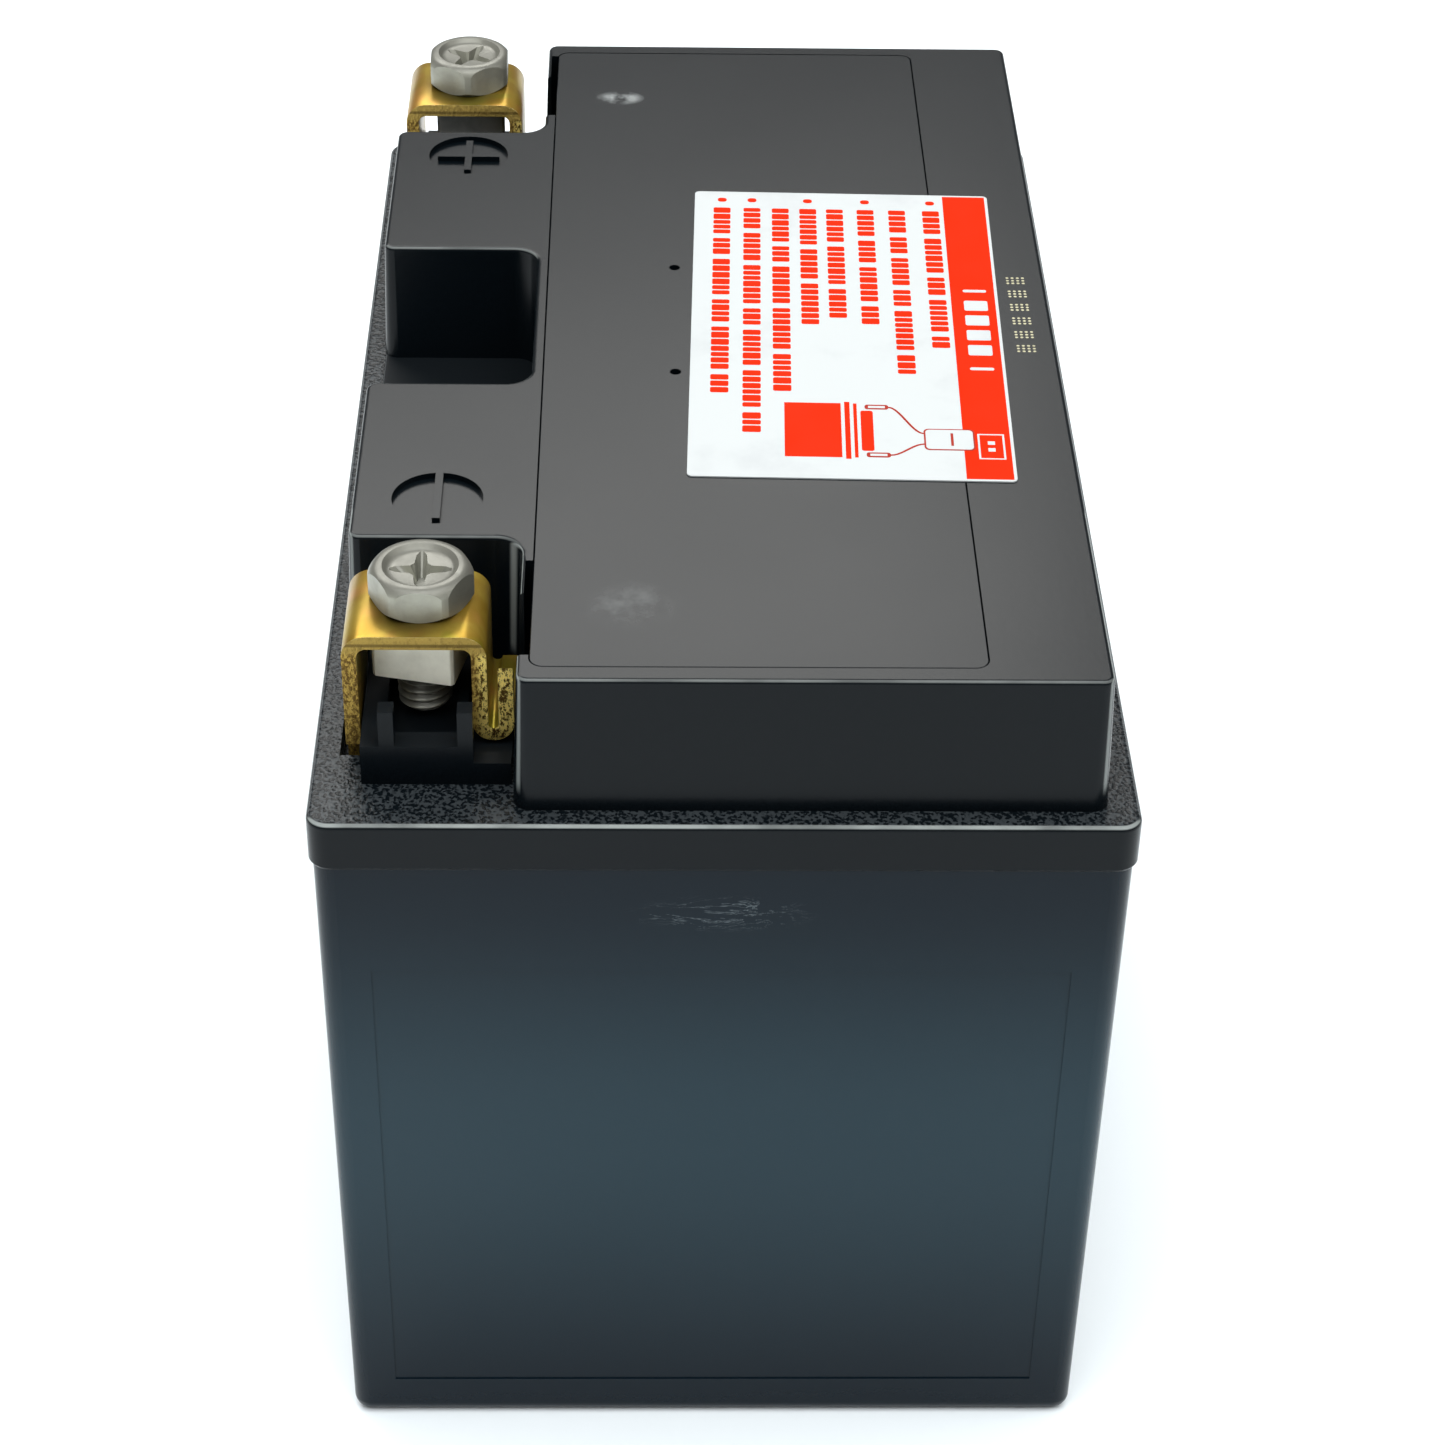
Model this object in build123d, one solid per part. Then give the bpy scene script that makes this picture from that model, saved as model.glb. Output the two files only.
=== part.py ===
from build123d import *
import math
import os

# Twelve-volt absorbed-glass-mat motorcycle battery, 150 x 87 x 110 mm over the bolt heads.
# Frame: origin at the centre of the base, +X along the length, +Y away from the terminals,
# +Z up. All dimensions are in millimetres.

# --- overall envelope -----------------------------------------------------------------
LENGTH = 150.0
WIDTH = 87.0
DECK_Z = 90.6            # ledge round the raised blocks
TOP_Z = 107.0            # top of the raised blocks
RIM_HEIGHT = 6.1         # band that overlaps the container's edge
RIM_STEP = 0.4           # how far the band stands proud of the container
RIM_CHAMFER = 0.3
RIM_CHAMFER_RISE = 0.45
RIM_ROUND = 0.7
CORNER_R = 2.4

# --- container ------------------------------------------------------------------------
SEAL_Z = DECK_Z - RIM_HEIGHT
WALL = 2.2
FLOOR = 2.8
CONTAINER_DRAFT = 0.5    # the base is this much smaller on every side than the top
BASE_ROUND = 1.8
PANEL_DEPTH = 0.15
PANEL_LOW_Z = 6.0
PANEL_HIGH_Z = 70.3
PANEL_SIDE_MARGIN = 6.0

# --- cells ----------------------------------------------------------------------------
CELLS = 6
PARTITION = 1.6
CELL_SPACE = (LENGTH - 2 * RIM_STEP - 2 * WALL - (CELLS - 1) * PARTITION) / CELLS
CELL_PITCH = CELL_SPACE + PARTITION
POSITIVE_PLATES = 4
POSITIVE_THICK = 2.1
NEGATIVE_THICK = 1.5
MAT_THICK = 0.8
PLATE_WIDTH = 78.6
PLATE_TOP_Z = 70.0
MAT_TOP_Z = 72.0
LUG_Y = 17.0
LUG_WIDTH = 9.0
STRAP_LOW_Z = 76.0
STRAP_HIGH_Z = 79.5
STRAP_INNER_Y = 8.0
STRAP_OUTER_Y = 26.0
WELD_Z = 80.0
WELD_R = 3.2
WELD_LUG_THICK = 2.6
WELD_LUG_WIDTH = 11.0
WELD_LUG_TOP_Z = 84.0

# --- cover ----------------------------------------------------------------------------
DECK_THICK = 2.5
ROOF_THICK = 2.4
DRAFT_DEG = 1.9
MAIN_HALF_X = 71.75      # at the top edge
MAIN_LOW_Y = -21.5
MAIN_HIGH_Y = 39.5
FRONT_Y = -40.2          # front of the two small blocks
FAR_BLOCK = (-46.8, -16.4)
NEAR_BLOCK = (14.6, 46.0)
NOTCH_FLOOR_Z = 91.8     # between the two small blocks
BLOCK_CORNER_R = 1.2
RECESS_CORNER_R = 3.0
EDGE_ROUND = 0.5

# --- valve cover ----------------------------------------------------------------------
PLATE_HALF_X = 69.5
PLATE_LOW_Y = -20.3
PLATE_HIGH_Y = 26.9
SEAM = 0.12
PLATE_CHAMFER = 0.08
PLATE_SEAT = 1.2         # ledge that carries the valve cover
VENT_X = 12.0
VENT_Y = -5.0
VENT_R = 0.65
FILTER_R = 3.0
FILTER_THICK = 1.5

# --- relief valves --------------------------------------------------------------------
VALVE_Y = 6.0
CHIMNEY_R = 5.0
CHIMNEY_BORE_R = 3.6
CHIMNEY_TOP_Z = 97.0
CAP_CLEARANCE = 0.06
CAP_R = 6.5
CAP_LOW_Z = 92.0
CAP_TOP_Z = 99.0
CAP_LIFT = 0.4
STOP_R = 1.8

# --- terminals ------------------------------------------------------------------------
NEGATIVE_X = 56.0
POSITIVE_X = -62.8
TERMINAL_Y = -31.8
STRIP = 1.6
BRACKET_FAR = 4.8        # from the bolt's axis towards -X
BRACKET_NEAR = 7.5       # from the bolt's axis towards +X
BRACKET_FRONT_Y = -39.85
BRACKET_REAR_Y = -24.8
BRACKET_TOP_Z = 106.3
BEND_R = 2.6
LEG_END_Z = 87.0
LEG_SHOULDER_Z = 92.4    # below this only a narrower tab goes down into the slot
LEG_TAB_FAR = 2.8
LEG_TAB_NEAR = 5.5
HOOK_LOW_Z = 93.0
HOOK_BACK_Y = -22.1
LUG_TIP_Z = 102.4
LUG_SLOPE = 2.6          # how far the lug's tip falls from its near edge to its far edge
LUG_LENGTH = 2.6
TONGUE_HALF = 4.5
BOLT_HOLE_R = 3.3

# --- bolt and nut, M6 ------------------------------------------------------------------
HEAD_FLATS = 10.0
HEAD_CORNERS = 11.1
HEAD_HEIGHT = 4.0
HEAD_BEVEL = 0.9
HEAD_BEVEL_DROP = 1.0
HEAD_BASE_BEVEL = 0.55
HEAD_BASE_RISE = 0.5
CROSS_DEPTH = 2.2
CROSS_SPAN = 6.6
CROSS_WIDTH = 1.5
CROSS_TURN = -30.0       # of the recess against the head's corners
BOLT_LENGTH = 13.5
BOLT_CHAMFER = 0.8
SHANK_R = 2.9
NUT_BORE_R = 3.0
NUT_FLATS = 8.9
NUT_HEIGHT = 6.3
NUT_CORNER = 0.35
NUT_CROWN_R = 4.6        # the crown cuts the corners off down to this radius
NUT_CROWN_SLOPE = 0.8    # fall of the crown over one unit of radius
NUT_GAP = 0.02
NEGATIVE_HEAD_TURN = 30.0
POSITIVE_HEAD_TURN = 0.0
NEGATIVE_NUT_TURN = -12.5
POSITIVE_NUT_TURN = 3.0

# --- nut pedestal on the deck ---------------------------------------------------------
PEDESTAL_NEAR = 12.0     # from the bolt's axis towards +X
PEDESTAL_FAR = 6.2       # from the bolt's axis towards -X
PEDESTAL_LOW_Y = -38.0
PEDESTAL_HIGH_Y = -27.0
PEDESTAL_TOP_Z = 95.5
STEP_HIGH_Y = -22.3
STEP_TOP_Z = 92.5
SILL_TOP_Z = 93.4        # at the step's near end, clear of the hook
POCKET_FAR = 3.6         # open pocket round the bolt's end
POCKET_NEAR = 9.4
POCKET_HALF_Y = 3.75
POCKET_FLOOR_Z = 91.8
KEEPER_THICK = 2.0
KEEPER_TOP_Z = 99.9
FRONT_KEEPER_LOW_Y = -36.0
FRONT_KEEPER_HIGH_Y = -34.4
REAR_KEEPER_LOW_Y = -27.8
REAR_KEEPER_HIGH_Y = -26.2
WINDOW_LOW_Z = 95.2      # foot of the window in the wall beside the rear leg
WINDOW_FAR = 5.6
WINDOW_NEAR = 11.4
FIN_END = 0.4            # the thin fin left of the wall ends here, from the bolt's axis
FIN_THICK = 0.4
SLOT_LOW_Y = -40.65
SLOT_HIGH_Y = -38.15
SLOT_HALF = 7.05

# --- lead posts -----------------------------------------------------------------------
POST_Y = -13.4
POST_R = 4.3
POST_NIB_R = 2.8
POST_NIB_Z = 96.0
DAM_HALF_X = 5.5
DAM_HIGH_Y = -6.2
DAM_WALL = 1.2

# --- caution label --------------------------------------------------------------------
LABEL_LENGTH = 65.0
LABEL_WIDTH = 36.4
LABEL_THICK = 0.15
LABEL_X = 2.0
LABEL_Y = 15.1
LABEL_TURN = 1.35

# --- polarity marks -------------------------------------------------------------------
MARK_Y = -31.0
PLUS_X = -40.3
MINUS_X = 38.5
MARK_R = 5.0
MARK_LINE = 0.85
MARK_DEPTH = 0.7
MARK_HALF = 3.9          # half the length of a bar


def box(x0, x1, y0, y1, z0, z1):
    """Box between two corners."""
    centre = Pos((x0 + x1) / 2, (y0 + y1) / 2, (z0 + z1) / 2)
    return centre * Box(x1 - x0, y1 - y0, z1 - z0)


def rod(x, y, radius, z0, z1):
    """Upright cylinder."""
    return Pos(x, y, (z0 + z1) / 2) * Cylinder(radius, z1 - z0)


def block(x0, x1, y0, y1, z0, z1, radius):
    """Upright block with rounded corners."""
    outline = Pos((x0 + x1) / 2, (y0 + y1) / 2, z0) * RectangleRounded(x1 - x0, y1 - y0, radius)
    return extrude(outline, amount=z1 - z0)


def cell_x(cell):
    """Centre of a cell, counted from 0 at the positive end."""
    return (cell - (CELLS - 1) / 2) * CELL_PITCH


def partition_x(index):
    """Centre of a partition, counted from 0 at the positive end."""
    return (index - (CELLS - 2) / 2) * CELL_PITCH


def positive_side(cell):
    """Side of the cell, -1 or +1 along Y, that holds its positive strap."""
    return -1 if cell % 2 == 0 else 1


def tapered_shell(inset):
    """Container's outer shape, drafted from its rim down to its base."""
    half_x = LENGTH / 2 - RIM_STEP - inset
    half_y = WIDTH / 2 - RIM_STEP - inset
    height = SEAL_Z - inset
    draft = math.degrees(math.atan(CONTAINER_DRAFT / SEAL_Z))
    outline = Pos(0, 0, SEAL_Z) * RectangleRounded(2 * half_x, 2 * half_y, CORNER_R)
    return extrude(outline, amount=-height, taper=draft)


def make_container():
    outer = tapered_shell(0)
    outer = fillet(outer.faces().sort_by(Axis.Z)[0].edges(), BASE_ROUND)
    panel_x = LENGTH / 2 - PANEL_SIDE_MARGIN
    panel_y = WIDTH / 2 - PANEL_SIDE_MARGIN
    far = LENGTH
    windows = [
        box(-far, far, -panel_y, panel_y, PANEL_LOW_Z, PANEL_HIGH_Z),
        box(-panel_x, panel_x, -far, far, PANEL_LOW_Z, PANEL_HIGH_Z),
    ]
    core = tapered_shell(PANEL_DEPTH)
    core = fillet(core.faces().sort_by(Axis.Z)[0].edges(), BASE_ROUND)
    body = outer - windows[0] - windows[1] + core
    inner_y = WIDTH / 2 - RIM_STEP - WALL - CONTAINER_DRAFT
    for cell in range(CELLS):
        x = cell_x(cell)
        low_x = x - CELL_SPACE / 2
        high_x = x + CELL_SPACE / 2
        body -= block(low_x, high_x, -inner_y, inner_y, FLOOR, SEAL_Z, 1.0)
    for index in range(CELLS - 1):
        side = -positive_side(index)
        hole = Pos(partition_x(index), side * LUG_Y, WELD_Z) * Rot(0, 90, 0) * Cylinder(WELD_R, 2 * PARTITION)
        body -= hole
    return body


def cover_blocks():
    """Raised parts of the cover, solid: the long main block and two small ones in front."""
    outline = Pos(0, (MAIN_LOW_Y + MAIN_HIGH_Y) / 2) * Rectangle(2 * MAIN_HALF_X, MAIN_HIGH_Y - MAIN_LOW_Y)
    for low_x, high_x in (FAR_BLOCK, NEAR_BLOCK):
        front = Rectangle(high_x - low_x, MAIN_LOW_Y - FRONT_Y + 2)
        outline += Pos((low_x + high_x) / 2, (FRONT_Y + MAIN_LOW_Y) / 2 + 1) * front
    recess = [
        vertex for vertex in outline.vertices()
        if abs(vertex.Y - MAIN_LOW_Y) < 0.01 and abs(vertex.X) < MAIN_HALF_X - 1
    ]
    outline = fillet(recess, RECESS_CORNER_R)
    corners = [
        vertex for vertex in outline.vertices()
        if abs(vertex.X) > MAIN_HALF_X - 0.01 or vertex.Y < FRONT_Y + 0.01
    ]
    outline = fillet(corners, BLOCK_CORNER_R)
    raised = extrude(Pos(0, 0, TOP_Z) * outline, amount=DECK_Z - TOP_Z, taper=-DRAFT_DEG)
    return fillet(raised.edges().group_by(Axis.Z)[-1], EDGE_ROUND)


def notch_floor():
    """Low step between the two small blocks, in line with their fronts."""
    step = box(FAR_BLOCK[1] - 1, NEAR_BLOCK[0] + 1, FRONT_Y - EDGE_ROUND, MAIN_LOW_Y, DECK_Z, NOTCH_FLOOR_Z)
    lip = step.edges().filter_by(Axis.X).group_by(Axis.Z)[-1].sort_by(Axis.Y)[0]
    return fillet(lip, EDGE_ROUND)


def rim():
    """Flange over the container's edge."""
    body = block(-LENGTH / 2, LENGTH / 2, -WIDTH / 2, WIDTH / 2, SEAL_Z, DECK_Z, CORNER_R)
    underside = body.faces().sort_by(Axis.Z)[0]
    body = chamfer(underside.edges(), RIM_CHAMFER, RIM_CHAMFER_RISE, reference=underside)
    return fillet(body.edges().group_by(Axis.Z)[-1], RIM_ROUND)


def polarity_mark(x, plus):
    """Sunk disc round a raised sign; the minus sign's far end runs into the disc's wall."""
    low_z = TOP_Z - MARK_DEPTH
    disc = rod(x, MARK_Y, MARK_R, low_z, TOP_Z + 1)
    line = MARK_LINE / 2
    far_end = MARK_HALF if plus else MARK_R
    along = box(x - far_end, x + MARK_HALF, MARK_Y - line, MARK_Y + line, low_z, TOP_Z)
    across = box(x - line, x + line, MARK_Y - MARK_HALF, MARK_Y + MARK_HALF, low_z, TOP_Z)
    sign = along + across if plus else along
    lid = rod(x, MARK_Y, MARK_R, low_z, TOP_Z) & sign
    return disc - extrude(lid.faces().sort_by(Axis.Z)[-1], amount=1) - lid


def pedestal(x):
    """Moulded block under the nut, with two keepers that stop the nut sliding out."""
    near_x = x + PEDESTAL_NEAR
    far_x = x - PEDESTAL_FAR
    keeper_x = near_x - KEEPER_THICK
    body = box(far_x, near_x, PEDESTAL_LOW_Y, PEDESTAL_HIGH_Y, DECK_Z, PEDESTAL_TOP_Z)
    body += box(far_x, near_x, PEDESTAL_HIGH_Y, STEP_HIGH_Y, DECK_Z, STEP_TOP_Z)
    body += box(keeper_x, near_x, PEDESTAL_HIGH_Y, STEP_HIGH_Y, DECK_Z, SILL_TOP_Z)
    body += box(keeper_x, near_x, FRONT_KEEPER_LOW_Y, FRONT_KEEPER_HIGH_Y, PEDESTAL_TOP_Z, KEEPER_TOP_Z)
    body += box(keeper_x, near_x, REAR_KEEPER_LOW_Y, REAR_KEEPER_HIGH_Y, DECK_Z, KEEPER_TOP_Z)
    return body


def terminal_cuts(x):
    """Openings in the cover for one terminal: leg slot, wall window and pocket for the bolt's end."""
    slot = box(x - SLOT_HALF, x + SLOT_HALF, SLOT_LOW_Y, SLOT_HIGH_Y, LEG_END_Z - 0.4, DECK_Z + 1)
    inner_y = PLATE_LOW_Y + 0.02
    window = box(x + FIN_END, x + WINDOW_NEAR, MAIN_LOW_Y - 1.5, inner_y, WINDOW_LOW_Z, TOP_Z + 1)
    window += box(x - WINDOW_FAR, x + FIN_END, MAIN_LOW_Y + FIN_THICK, inner_y, WINDOW_LOW_Z, TOP_Z + 1)
    tongue = box(
        x - TONGUE_HALF - 0.3, x + TONGUE_HALF + 0.3,
        MAIN_LOW_Y - 2, PLATE_LOW_Y + 3, HOOK_LOW_Z - 0.2, HOOK_LOW_Z + STRIP + 0.2,
    )
    pocket = box(
        x - POCKET_FAR, x + POCKET_NEAR,
        TERMINAL_Y - POCKET_HALF_Y, TERMINAL_Y + POCKET_HALF_Y, POCKET_FLOOR_Z, PEDESTAL_TOP_Z + 1,
    )
    return [slot, window, tongue, pocket]


def make_cover():
    body = rim() + cover_blocks() + notch_floor()
    roof_z = TOP_Z - ROOF_THICK
    ceiling_z = DECK_Z - DECK_THICK
    inner_x = LENGTH / 2 - RIM_STEP - WALL
    inner_y = WIDTH / 2 - RIM_STEP - WALL
    # valve chamber, closed by the valve cover
    body -= block(-PLATE_HALF_X, PLATE_HALF_X, PLATE_LOW_Y, PLATE_HIGH_Y, roof_z, TOP_Z + 1, 1.6)
    body -= box(
        -PLATE_HALF_X + PLATE_SEAT, PLATE_HALF_X - PLATE_SEAT,
        PLATE_LOW_Y + PLATE_SEAT, PLATE_HIGH_Y - PLATE_SEAT, DECK_Z, roof_z,
    )
    # head space over each cell, with the front and rear blocks hollow from below
    for cell in range(CELLS):
        low_x = cell_x(cell) - CELL_SPACE / 2
        high_x = cell_x(cell) + CELL_SPACE / 2
        body -= box(low_x, high_x, -inner_y, inner_y, SEAL_Z, ceiling_z)
        hollow_low = max(low_x, -MAIN_HALF_X + WALL)
        hollow_high = min(high_x, MAIN_HALF_X - WALL)
        body -= box(hollow_low, hollow_high, PLATE_HIGH_Y + 1.2, MAIN_HIGH_Y - WALL, ceiling_z, roof_z)
        for block_low, block_high in (FAR_BLOCK, NEAR_BLOCK):
            front_low = max(low_x, block_low + WALL)
            front_high = min(high_x, block_high - WALL)
            if front_high - front_low > 3:
                body -= box(front_low, front_high, FRONT_Y + WALL, MAIN_LOW_Y - 0.4, ceiling_z, roof_z)
    for x in (NEGATIVE_X, POSITIVE_X):
        # solid under the leg's slot
        slot_reach = SLOT_HALF + 2
        body += box(x - slot_reach, x + slot_reach, -inner_y, SLOT_HIGH_Y + 1.2, SEAL_Z, ceiling_z)
        body += pedestal(x)
        # dam that holds the sealing resin round the post
        dam = box(
            x - DAM_HALF_X - DAM_WALL, x + DAM_HALF_X + DAM_WALL,
            PLATE_LOW_Y + PLATE_SEAT, DAM_HIGH_Y + DAM_WALL, DECK_Z, HOOK_LOW_Z,
        )
        dam -= box(
            x - DAM_HALF_X, x + DAM_HALF_X,
            PLATE_LOW_Y + PLATE_SEAT, DAM_HIGH_Y, DECK_Z, HOOK_LOW_Z,
        )
        body += dam
        for cut in terminal_cuts(x):
            body -= cut
        body -= rod(x, POST_Y, POST_R + 0.1, ceiling_z - 1, DECK_Z + 1)
    for cell in range(CELLS):
        x = cell_x(cell)
        body += rod(x, VALVE_Y, CHIMNEY_R, DECK_Z, CHIMNEY_TOP_Z)
        body -= rod(x, VALVE_Y, CHIMNEY_BORE_R, ceiling_z - 1, CHIMNEY_TOP_Z + 1)
    body -= polarity_mark(PLUS_X, True)
    body -= polarity_mark(MINUS_X, False)
    return body


def make_valve_cover():
    roof_z = TOP_Z - ROOF_THICK
    half_x = PLATE_HALF_X - SEAM
    body = block(-half_x, half_x, PLATE_LOW_Y + SEAM, PLATE_HIGH_Y - SEAM, roof_z, TOP_Z, 1.4)
    body = chamfer(body.edges().group_by(Axis.Z)[-1], PLATE_CHAMFER)
    for cell in range(CELLS):
        body += rod(cell_x(cell), VALVE_Y, STOP_R, CAP_TOP_Z + CAP_LIFT + 0.1, roof_z)
    for x in (-VENT_X, VENT_X):
        body += rod(x, VENT_Y, FILTER_R + 1.0, roof_z - FILTER_THICK, roof_z)
        body -= rod(x, VENT_Y, FILTER_R, roof_z - FILTER_THICK, roof_z)
        body -= rod(x, VENT_Y, VENT_R, roof_z - 1, TOP_Z + 1)
    return body


def make_vent_filters():
    roof_z = TOP_Z - ROOF_THICK
    discs = [rod(x, VENT_Y, FILTER_R - 0.05, roof_z - FILTER_THICK, roof_z) for x in (-VENT_X, VENT_X)]
    return Compound(children=discs)


def make_valve_cap(cell):
    x = cell_x(cell)
    cap = rod(x, VALVE_Y, CAP_R, CAP_LOW_Z, CAP_TOP_Z)
    cap = fillet(cap.edges().group_by(Axis.Z)[-1], 0.8)
    return cap - rod(x, VALVE_Y, CHIMNEY_R + CAP_CLEARANCE, CAP_LOW_Z - 1, CHIMNEY_TOP_Z)


def make_terminal(x):
    """Bent strip: front leg, flat top with the bolt's hole, rear leg, hook and tongue."""
    outer = Rectangle(BRACKET_REAR_Y - BRACKET_FRONT_Y, BRACKET_TOP_Z - LEG_END_Z)
    outer = Pos((BRACKET_REAR_Y + BRACKET_FRONT_Y) / 2, (BRACKET_TOP_Z + LEG_END_Z) / 2) * outer
    outer = fillet(outer.vertices().group_by(Axis.Y)[-1], BEND_R)
    inner_width = BRACKET_REAR_Y - BRACKET_FRONT_Y - 2 * STRIP
    inner = Rectangle(inner_width, BRACKET_TOP_Z - LEG_END_Z)
    inner = Pos((BRACKET_REAR_Y + BRACKET_FRONT_Y) / 2, (BRACKET_TOP_Z + LEG_END_Z) / 2 - STRIP) * inner
    inner = fillet(inner.vertices().group_by(Axis.Y)[-1], BEND_R - STRIP)
    profile = outer - inner
    rear_bottom = Rectangle(3 * STRIP, HOOK_LOW_Z + BEND_R - LEG_END_Z)
    profile -= Pos(BRACKET_REAR_Y, (HOOK_LOW_Z + BEND_R + LEG_END_Z) / 2) * rear_bottom
    low_x = x - BRACKET_FAR
    length = BRACKET_FAR + BRACKET_NEAR
    plane = Plane(origin=(low_x, 0, 0), x_dir=(0, 1, 0), z_dir=(1, 0, 0))
    body = extrude(plane * profile, amount=length)
    front_y = BRACKET_FRONT_Y - 1
    for low_cut, high_cut in ((-length, -LEG_TAB_FAR), (LEG_TAB_NEAR, length)):
        body -= box(x + low_cut, x + high_cut, front_y, front_y + 2 * STRIP, LEG_END_Z - 1, LEG_SHOULDER_Z)
    # hook at the foot of the rear leg: a half ring, then the locating lug against the wall
    hook_centre_y = (BRACKET_REAR_Y - STRIP + HOOK_BACK_Y) / 2
    hook_r = (HOOK_BACK_Y - BRACKET_REAR_Y + STRIP) / 2
    ring = Circle(hook_r) - Circle(hook_r - STRIP)
    ring -= Pos(0, hook_r) * Rectangle(4 * hook_r, 2 * hook_r)
    ring = Pos(hook_centre_y, HOOK_LOW_Z + hook_r) * ring
    leg_foot = Pos(BRACKET_REAR_Y - STRIP / 2, HOOK_LOW_Z + (hook_r + BEND_R) / 2) * Rectangle(
        STRIP, abs(BEND_R - hook_r) + 0.5
    )
    body += extrude(plane * (ring + leg_foot), amount=length)
    lug_x = x + BRACKET_NEAR - LUG_LENGTH
    lug = Polyline(
        (lug_x, HOOK_LOW_Z + hook_r), (lug_x + LUG_LENGTH, HOOK_LOW_Z + hook_r),
        (lug_x + LUG_LENGTH, LUG_TIP_Z), (lug_x, LUG_TIP_Z - LUG_SLOPE), close=True,
    )
    side_plane = Plane(origin=(0, HOOK_BACK_Y, 0), x_dir=(1, 0, 0), z_dir=(0, -1, 0))
    body += extrude(side_plane * make_face(lug), amount=STRIP)
    # tongue that runs through the cover's wall to the lead post
    body += box(
        x - TONGUE_HALF, x + TONGUE_HALF, hook_centre_y, POST_Y + POST_R, HOOK_LOW_Z, HOOK_LOW_Z + STRIP
    )
    body -= rod(x, POST_Y, POST_NIB_R + 0.05, HOOK_LOW_Z - 1, HOOK_LOW_Z + STRIP + 1)
    return body - rod(x, TERMINAL_Y, BOLT_HOLE_R, BRACKET_TOP_Z - 2 * STRIP, BRACKET_TOP_Z + 1)


def make_post(x):
    post = rod(x, POST_Y, POST_R, STRAP_HIGH_Z, HOOK_LOW_Z)
    return post + rod(x, POST_Y, POST_NIB_R, HOOK_LOW_Z, POST_NIB_Z)


def make_post_seal(x):
    low_y = PLATE_LOW_Y + PLATE_SEAT
    resin = box(x - DAM_HALF_X, x + DAM_HALF_X, low_y, DAM_HIGH_Y, DECK_Z, HOOK_LOW_Z - 0.3)
    return resin - rod(x, POST_Y, POST_R + 0.05, DECK_Z - 1, HOOK_LOW_Z + 1)


def cross_recess():
    """Tapered four-armed driver recess, its mouth at z = 0."""
    arm = loft([
        Pos(0, 0, 0.2) * Rectangle(CROSS_SPAN, CROSS_WIDTH),
        Pos(0, 0, -CROSS_DEPTH) * Rectangle(0.4 * CROSS_SPAN, 0.7 * CROSS_WIDTH),
    ])
    return Rot(0, 0, CROSS_TURN) * (arm + Rot(0, 0, 90) * arm)


def make_bolt(x, turn):
    head = extrude(RegularPolygon(HEAD_FLATS / 2, 6, major_radius=False), amount=HEAD_HEIGHT)
    bevel = Pos(0, 0, HEAD_HEIGHT / 2) * Cylinder(HEAD_CORNERS / 2, HEAD_HEIGHT)
    crown = bevel.faces().sort_by(Axis.Z)[-1]
    bevel = chamfer(crown.edges(), HEAD_BEVEL, HEAD_BEVEL_DROP, reference=crown)
    base = bevel.faces().sort_by(Axis.Z)[0]
    bevel = chamfer(base.edges(), HEAD_BASE_BEVEL, HEAD_BASE_RISE, reference=base)
    head = head & bevel
    head -= Pos(0, 0, HEAD_HEIGHT) * cross_recess()
    shank = Pos(0, 0, -BOLT_LENGTH / 2) * Cylinder(SHANK_R, BOLT_LENGTH)
    shank = chamfer(shank.edges().group_by(Axis.Z)[0], BOLT_CHAMFER)
    return Pos(x, TERMINAL_Y, BRACKET_TOP_Z) * Rot(0, 0, turn) * (head + shank)


def make_nut(x, turn):
    top_z = BRACKET_TOP_Z - STRIP - NUT_GAP
    nut = Box(NUT_FLATS, NUT_FLATS, NUT_HEIGHT)
    nut = chamfer(nut.edges().filter_by(Axis.Z), NUT_CORNER)
    guard = Cylinder(NUT_FLATS, NUT_HEIGHT)
    crown = guard.faces().sort_by(Axis.Z)[-1]
    slope = (NUT_FLATS - NUT_CROWN_R) * NUT_CROWN_SLOPE
    nut = nut & chamfer(crown.edges(), NUT_FLATS - NUT_CROWN_R, slope, reference=crown)
    nut -= Cylinder(NUT_BORE_R, 2 * NUT_HEIGHT)
    return Pos(x, TERMINAL_Y, top_z - NUT_HEIGHT / 2) * Rot(0, 0, turn) * nut


def make_label():
    flat = RectangleRounded(LABEL_LENGTH, LABEL_WIDTH, 0.6)
    return Pos(LABEL_X, LABEL_Y, TOP_Z) * Rot(0, 0, -LABEL_TURN) * extrude(flat, amount=LABEL_THICK)


def stack_offsets():
    """Mid-planes along X of the positive plates and of the negative plates."""
    pitch = POSITIVE_THICK + NEGATIVE_THICK + 2 * MAT_THICK
    positives = [(index - (POSITIVE_PLATES - 1) / 2) * pitch for index in range(POSITIVE_PLATES)]
    negatives = [(index - POSITIVE_PLATES / 2) * pitch for index in range(POSITIVE_PLATES + 1)]
    return positives, negatives


def plate(x, thick, side):
    """Pasted grid with the lug that joins it to its strap."""
    half = thick / 2
    grid = box(x - half, x + half, -PLATE_WIDTH / 2, PLATE_WIDTH / 2, FLOOR + MAT_THICK, PLATE_TOP_Z)
    low_y = side * LUG_Y - LUG_WIDTH / 2
    lug = box(x - half, x + half, low_y, low_y + LUG_WIDTH, PLATE_TOP_Z, STRAP_LOW_Z)
    return grid + lug


def make_plates(cell, positive):
    offsets = stack_offsets()[0 if positive else 1]
    thick = POSITIVE_THICK if positive else NEGATIVE_THICK
    side = positive_side(cell) if positive else -positive_side(cell)
    return Compound(children=[plate(cell_x(cell) + offset, thick, side) for offset in offsets])


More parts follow.
